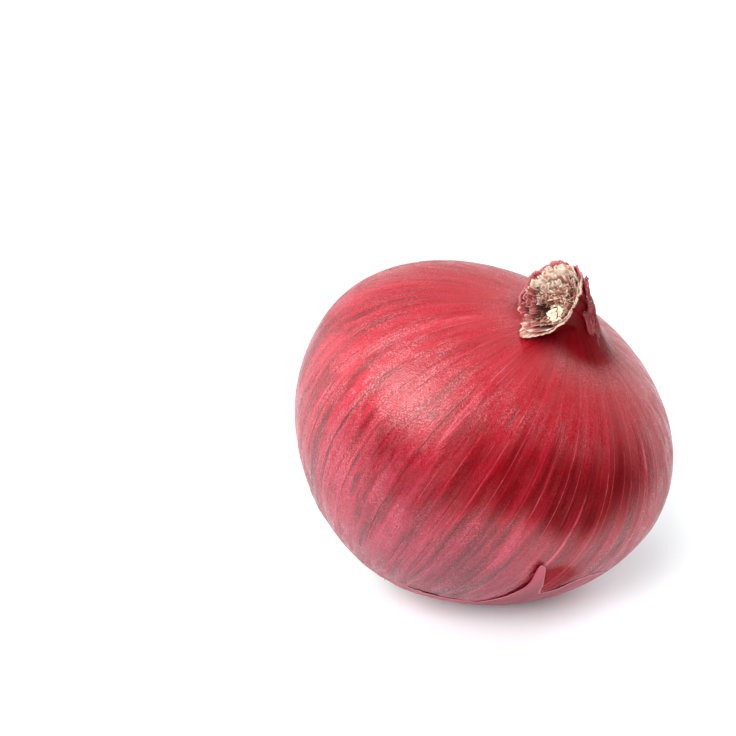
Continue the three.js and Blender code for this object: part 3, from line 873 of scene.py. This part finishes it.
def onion_skin():
    """Broad zones of colour with stripes, fine streaks, dull smudges and thin veins along the bulb, with
    painted light, shade and highlight in some zones. The tiny cells of the skin roughen its shine, and
    the painted shade of the deep band and round the neck hardly shines."""
    skin = Finish("glossy_onion_skin")
    zone = {name: skin.stored(name) for name in
            ("low", "side_lamp_light", "deep_shade", "striped", "grainy", "lined", "collar_shade", "lip", "mouth", "rosy",
             "painted_highlight")}
    cells = skin.noise(skin.place(), scale=2300, detail=2, roughness=0.7)
    clumps = skin.noise(skin.grain(16, 5.0, 9.2), detail=4, roughness=0.6)
    fibres = skin.noise(skin.grain(120, 1.2, 4.4), detail=3, roughness=0.7)
    streaks = skin.noise(skin.grain(42, 1.1, 6.4), detail=3, roughness=0.6)
    wide = skin.noise(skin.grain(12, 1.3, 5.3), detail=5, roughness=0.62, distortion=0.3)
    broad = skin.noise(skin.grain(2.2, 0.7, 3.1), detail=3)

    skin.colour = skin.mix(zone["low"], CRIMSON, ROSE)
    # painted light: lighter coral on the sides facing the side lamps
    skin.paint(zone["side_lamp_light"], LAMP_LIT_CORAL)
    light = skin.mix(zone["low"], LIGHT, LIGHT_LOW)
    skin.paint(skin.times(zone["striped"], skin.ramp(wide, 0.51, 0.60, 0.0, 0.85)), light)
    dim = skin.mix(zone["low"], DIM, DIM_LOW)
    skin.paint(skin.times(zone["striped"], skin.ramp(wide, 0.49, 0.39, 0.0, 0.90)), dim)
    skin.paint(skin.ramp(streaks, 0.52, 0.68, 0.0, 0.40), light)
    skin.paint(skin.ramp(streaks, 0.48, 0.32, 0.0, 0.45), dim)
    # painted shade round the neck base and in the crevice beside the tongue, over a deeper crimson
    skin.paint(zone["collar_shade"], COLLAR_SHADE)
    # painted shade over the skin's own darker red: the deep band, and the shadow under the neck's rim
    skin.paint(skin.times(zone["deep_shade"], skin.ramp(wide, 0.35, 0.66, 1.0, 0.65)), DEEP_SHADE)

    smudge = skin.noise(skin.grain(15, 3.0, 1.3), detail=4, roughness=0.6)
    smudge = skin.math("ADD", smudge, skin.times(skin.math("SUBTRACT", cells, 0.5), 0.30))
    skin.paint(skin.times(skin.ramp(smudge, 0.53, 0.64, 0.0, 0.68), zone["grainy"]), DULL)

    pink_line = skin.noise(skin.grain(9, 0.10, 7.7), detail=0)
    wide_vein = skin.times(skin.vein(pink_line, 0.040), skin.ramp(broad, 0.42, 0.56, 0.05, 0.55))
    skin.paint(skin.times(wide_vein, zone["lined"]), light)
    pale_vein = skin.times(skin.vein(pink_line, 0.010), skin.ramp(clumps, 0.42, 0.56, 0.15, 0.9))
    skin.paint(skin.times(pale_vein, zone["lined"]), VEIN_PINK)
    dark_line = skin.noise(skin.grain(11, 0.12, 2.9), detail=0)
    dark_vein = skin.times(skin.vein(dark_line, 0.012), skin.ramp(clumps, 0.42, 0.54, 0.0, 1.0))
    dark_vein = skin.times(dark_vein, zone["grainy"])
    skin.paint(dark_vein, VEIN_DARK)

    skin.paint(skin.ramp(fibres, 0.50, 0.72, 0.0, 0.30), light)
    speckle(skin, zone, clumps, dim)
    colour_mouth(skin, zone, clumps, streaks)

    height = skin.math("ADD", skin.times(fibres, 0.35), skin.times(cells, 0.65))
    height = skin.math("SUBTRACT", height, skin.times(dark_vein, 0.6))
    rough = skin.ramp(cells, 0.3, 0.7, 0.25, 0.43)
    rough = skin.math("ADD", rough, skin.ramp(clumps, 0.42, 0.58, -0.06, 0.13))
    # the painted shade of the deep band and the collar gets almost no shine
    painted_shade_cover = skin.math("MAXIMUM", zone["deep_shade"], zone["collar_shade"])
    skin.set(Base_Color=skin.colour, Roughness=rough,
             Specular_IOR_Level=skin.ramp(painted_shade_cover, 0.15, 0.95, 0.48, 0.03),
             Normal=skin.bump(height, 0.00018, 0.9))
    return skin.material


def papery_skin():
    """The torn outer skin: rose and dull bands along it, fine fibres, and a paler torn edge, partly painted
    light.
    """
    skin = Finish("papery_skin")
    bands = skin.ramp(skin.noise(skin.grain(9, 0.45, 6.3), detail=3, roughness=0.6), 0.40, 0.64)
    skin.colour = skin.mix(bands, (0.34, 0.026, 0.058), (0.17, 0.009, 0.024))
    fibres = skin.noise(skin.grain(110, 1.2, 4.4), detail=3, roughness=0.7)
    skin.paint(skin.ramp(fibres, 0.35, 0.75, 0.0, 0.35), (0.55, 0.11, 0.15))
    # paler torn edge: partly the thin skin's own tone, partly painted light where its lifted lip catches
    # the light
    skin.paint(skin.times(skin.ramp(skin.stored("edge"), 1.4, 0.2), 0.7), (0.62, 0.22, 0.25))
    skin.paint(skin.times(skin.stored("tongue"), 0.8), (0.46, 0.046, 0.090))
    skin.set(Base_Color=skin.colour, Roughness=0.45, Specular_IOR_Level=0.35,
             Normal=skin.bump(fibres, 0.0001, 0.6))
    return skin.material


def dry_leaf_skin():
    """Dried leaf: cream to wine red, streaked along its fibres, with brown stains, darkened low down with
    painted shade, and a pale ragged edge."""
    leaf = Finish("dry_leaf_skin")
    rise = leaf.stored("rise")
    fine = leaf.noise(leaf.grain(26, 1.6), detail=4, roughness=0.7)
    broad = leaf.noise(leaf.grain(5, 1.4, 2.3), detail=3, roughness=0.6)
    red = leaf.math("ADD", leaf.stored("red"), leaf.ramp(broad, 0.32, 0.68, -0.45, 0.45))
    leaf.colour = leaf.mix(leaf.ramp(red, 0.15, 0.85), CREAM, (0.40, 0.030, 0.055))
    leaf.paint(leaf.ramp(broad, 0.52, 0.66, 0.0, 0.6), (0.50, 0.24, 0.15))
    leaf.paint(leaf.ramp(fine, 0.44, 0.34, 0.0, 0.9), (0.10, 0.022, 0.016))
    leaf.paint(leaf.ramp(fine, 0.55, 0.75, 0.0, 0.6), (0.80, 0.58, 0.44))
    # painted shade: near black low on each leaf, deep in the mouth's crevices
    leaf.paint(leaf.ramp(rise, 0.90, 0.40, 0.0, 0.95), (0.05, 0.010, 0.008))
    leaf.paint(leaf.ramp(rise, 0.95, 1.0, 0.0, 0.6), (0.80, 0.60, 0.50))
    spots = leaf.noise(leaf.place(), scale=800, detail=4, roughness=0.7)
    leaf.paint(leaf.ramp(spots, 0.50, 0.60, 0.0, 0.70), LEAF_RUST)
    leaf.paint(leaf.ramp(spots, 0.40, 0.30, 0.0, 0.8), LEAF_DARK)
    leaf.set(Base_Color=leaf.colour, Roughness=0.6, Specular_IOR_Level=0.35,
             Normal=leaf.bump(fine, 0.00015, 0.8))
    return leaf.material


def crumbly_filling():
    """Pale crumbs and fibres, darkening with painted shade to brown where the surface is low and near black
    lowest of all.
    """
    fill = Finish("crumbly_filling")
    spots = fill.noise(fill.place(), scale=900, detail=4, roughness=0.7)
    pale = fill.math("ADD", fill.stored("pale"), fill.ramp(spots, 0.3, 0.7, -0.35, 0.30))
    # painted shade: near black through brown as pale falls
    fill.colour = fill.mix(fill.ramp(pale, 0.2, 0.60), (0.045, 0.013, 0.009), (0.42, 0.17, 0.11))
    fill.paint(fill.ramp(pale, 0.55, 0.95), (0.82, 0.74, 0.56))
    fill.set(Base_Color=fill.colour, Roughness=0.85, Specular_IOR_Level=0.2,
             Normal=fill.bump(spots, 0.0003, 0.8))
    return fill.material


def dry_roots():
    """Straw-coloured roots over a darker, grey-brown plate."""
    root = Finish("dry_roots")
    spots = root.noise(root.place(), scale=1400, detail=4, roughness=0.7)
    pale = root.math("ADD", root.stored("pale"), root.ramp(spots, 0.3, 0.7, -0.3, 0.2))
    root.colour = root.mix(root.ramp(pale, 0.1, 0.9), (0.10, 0.075, 0.045), STRAW)
    root.set(Base_Color=root.colour, Roughness=0.9, Specular_IOR_Level=0.2,
             Normal=root.bump(spots, 0.0002, 0.7))
    return root.material


# ------------------------------------------------------------------ stage
def make_stage():
    """A pale floor, soft lights and the camera. The floor in front and at the right leaves no
    reflection: the onion's sheen sees a dim room there, as it does beyond a small table."""
    paint = Finish("floor_paint")
    away = paint.node("VectorMath", {"operation": "LENGTH"}, Vector=paint.place()).outputs["Value"]
    paint.set(Base_Color=(0.85, 0.91, 0.93, 1), Roughness=0.7, Specular_IOR_Level=0.2,
              Emission_Color=(1, 1, 1, 1), Emission_Strength=paint.ramp(away, 0.12, 1.4, 0.10, 0.85))

    def floor(name, x_range, y_range):
        mesh = bpy.data.meshes.new(name)
        (x0, x1), (y0, y1) = x_range, y_range
        mesh.from_pydata([(x0, y0, 0), (x1, y0, 0), (x1, y1, 0), (x0, y1, 0)], [], [(0, 1, 2, 3)])
        mesh.materials.append(paint.material)
        made = bpy.data.objects.new(name, mesh)
        bpy.context.collection.objects.link(made)
        return made

    far, front, back, right = 3.0, -0.080, 0.09, 0.090
    floor("floor", (-far, far), (back, far))
    floor("floor_middle", (-far, right), (front, back))
    floor_right = floor("floor_right", (right, far), (front, back))
    floor_front = floor("floor_front", (-far, far), (-far, front))
    for unseen in (floor_right, floor_front):
        unseen.visible_glossy = False

    def light(name, azimuth, elevation, distance, size, strength):
        """A soft panel seen from the onion at an azimuth (0 in front, 90 at the right) and elevation,
        with a surface brightness."""
        lamp = bpy.data.lights.new(name, "AREA")
        lamp.shape = "RECTANGLE"
        lamp.size, lamp.size_y = size
        lamp.energy = strength * size[0] * size[1] * math.pi
        holder = bpy.data.objects.new(name, lamp)
        bpy.context.collection.objects.link(holder)
        turn, rise = math.radians(azimuth), math.radians(elevation)
        toward = Vector((math.sin(turn) * math.cos(rise), -math.cos(turn) * math.cos(rise), math.sin(rise)))
        holder.location = Vector((0, 0, 0.04)) + toward * distance
        holder.rotation_euler = (-toward).to_track_quat("-Z", "Y").to_euler()

    light("spark", -28, 35, 0.7, (0.44, 0.40), 10.6)
    light("overhead", -60, 68, 0.95, (1.1, 0.9), 1.1)
    light("right", 128, 34, 0.9, (0.55, 0.5), 4.2)
    light("left", -104, 22, 0.8, (0.45, 0.5), 2.4)

    world = bpy.data.worlds.new("room")
    bpy.context.scene.world = world
    world.use_nodes = True
    room = Nodes(world.node_tree)
    background = room.tree.nodes["Background"]
    background.inputs["Color"].default_value = (1, 1, 1, 1)
    direction = room.node("SeparateXYZ", Vector=room.node("TexCoord").outputs["Generated"])
    behind = room.ramp(direction.outputs["Y"], 0.0, 0.7, 0.03, 1.2)
    brightness = room.ramp(direction.outputs["Z"], 0.15, 0.6, behind, 0.5)
    seen = room.ramp(room.node("LightPath").outputs["Is Camera Ray"], 0.0, 1.0, brightness, 1.0)
    room.plug(background.inputs["Strength"], seen)

    camera = bpy.data.cameras.new("camera")
    camera.lens = 100
    camera.sensor_width = 36
    camera.clip_start = 0.01
    holder = bpy.data.objects.new("camera", camera)
    bpy.context.collection.objects.link(holder)
    holder.location = (PLACE + np.array(CAMERA_AT)) * MM
    holder.rotation_euler = (CAMERA_PITCH, 0, 0)
    bpy.context.scene.camera = holder
    bpy.context.scene.view_settings.view_transform = "Standard"


# ------------------------------------------------------------------ the onion
def dress(piece, material):
    piece.data.materials.append(material)


make_stage()
dress(make_bulb(), onion_skin())
dress(make_base_skin(), papery_skin())
leaf_skin = dry_leaf_skin()
for piece in (make_neck_leaves(), *make_neck_scraps()):
    dress(piece, leaf_skin)
dress(make_neck_filling(), crumbly_filling())
dress(make_roots(), dry_roots())
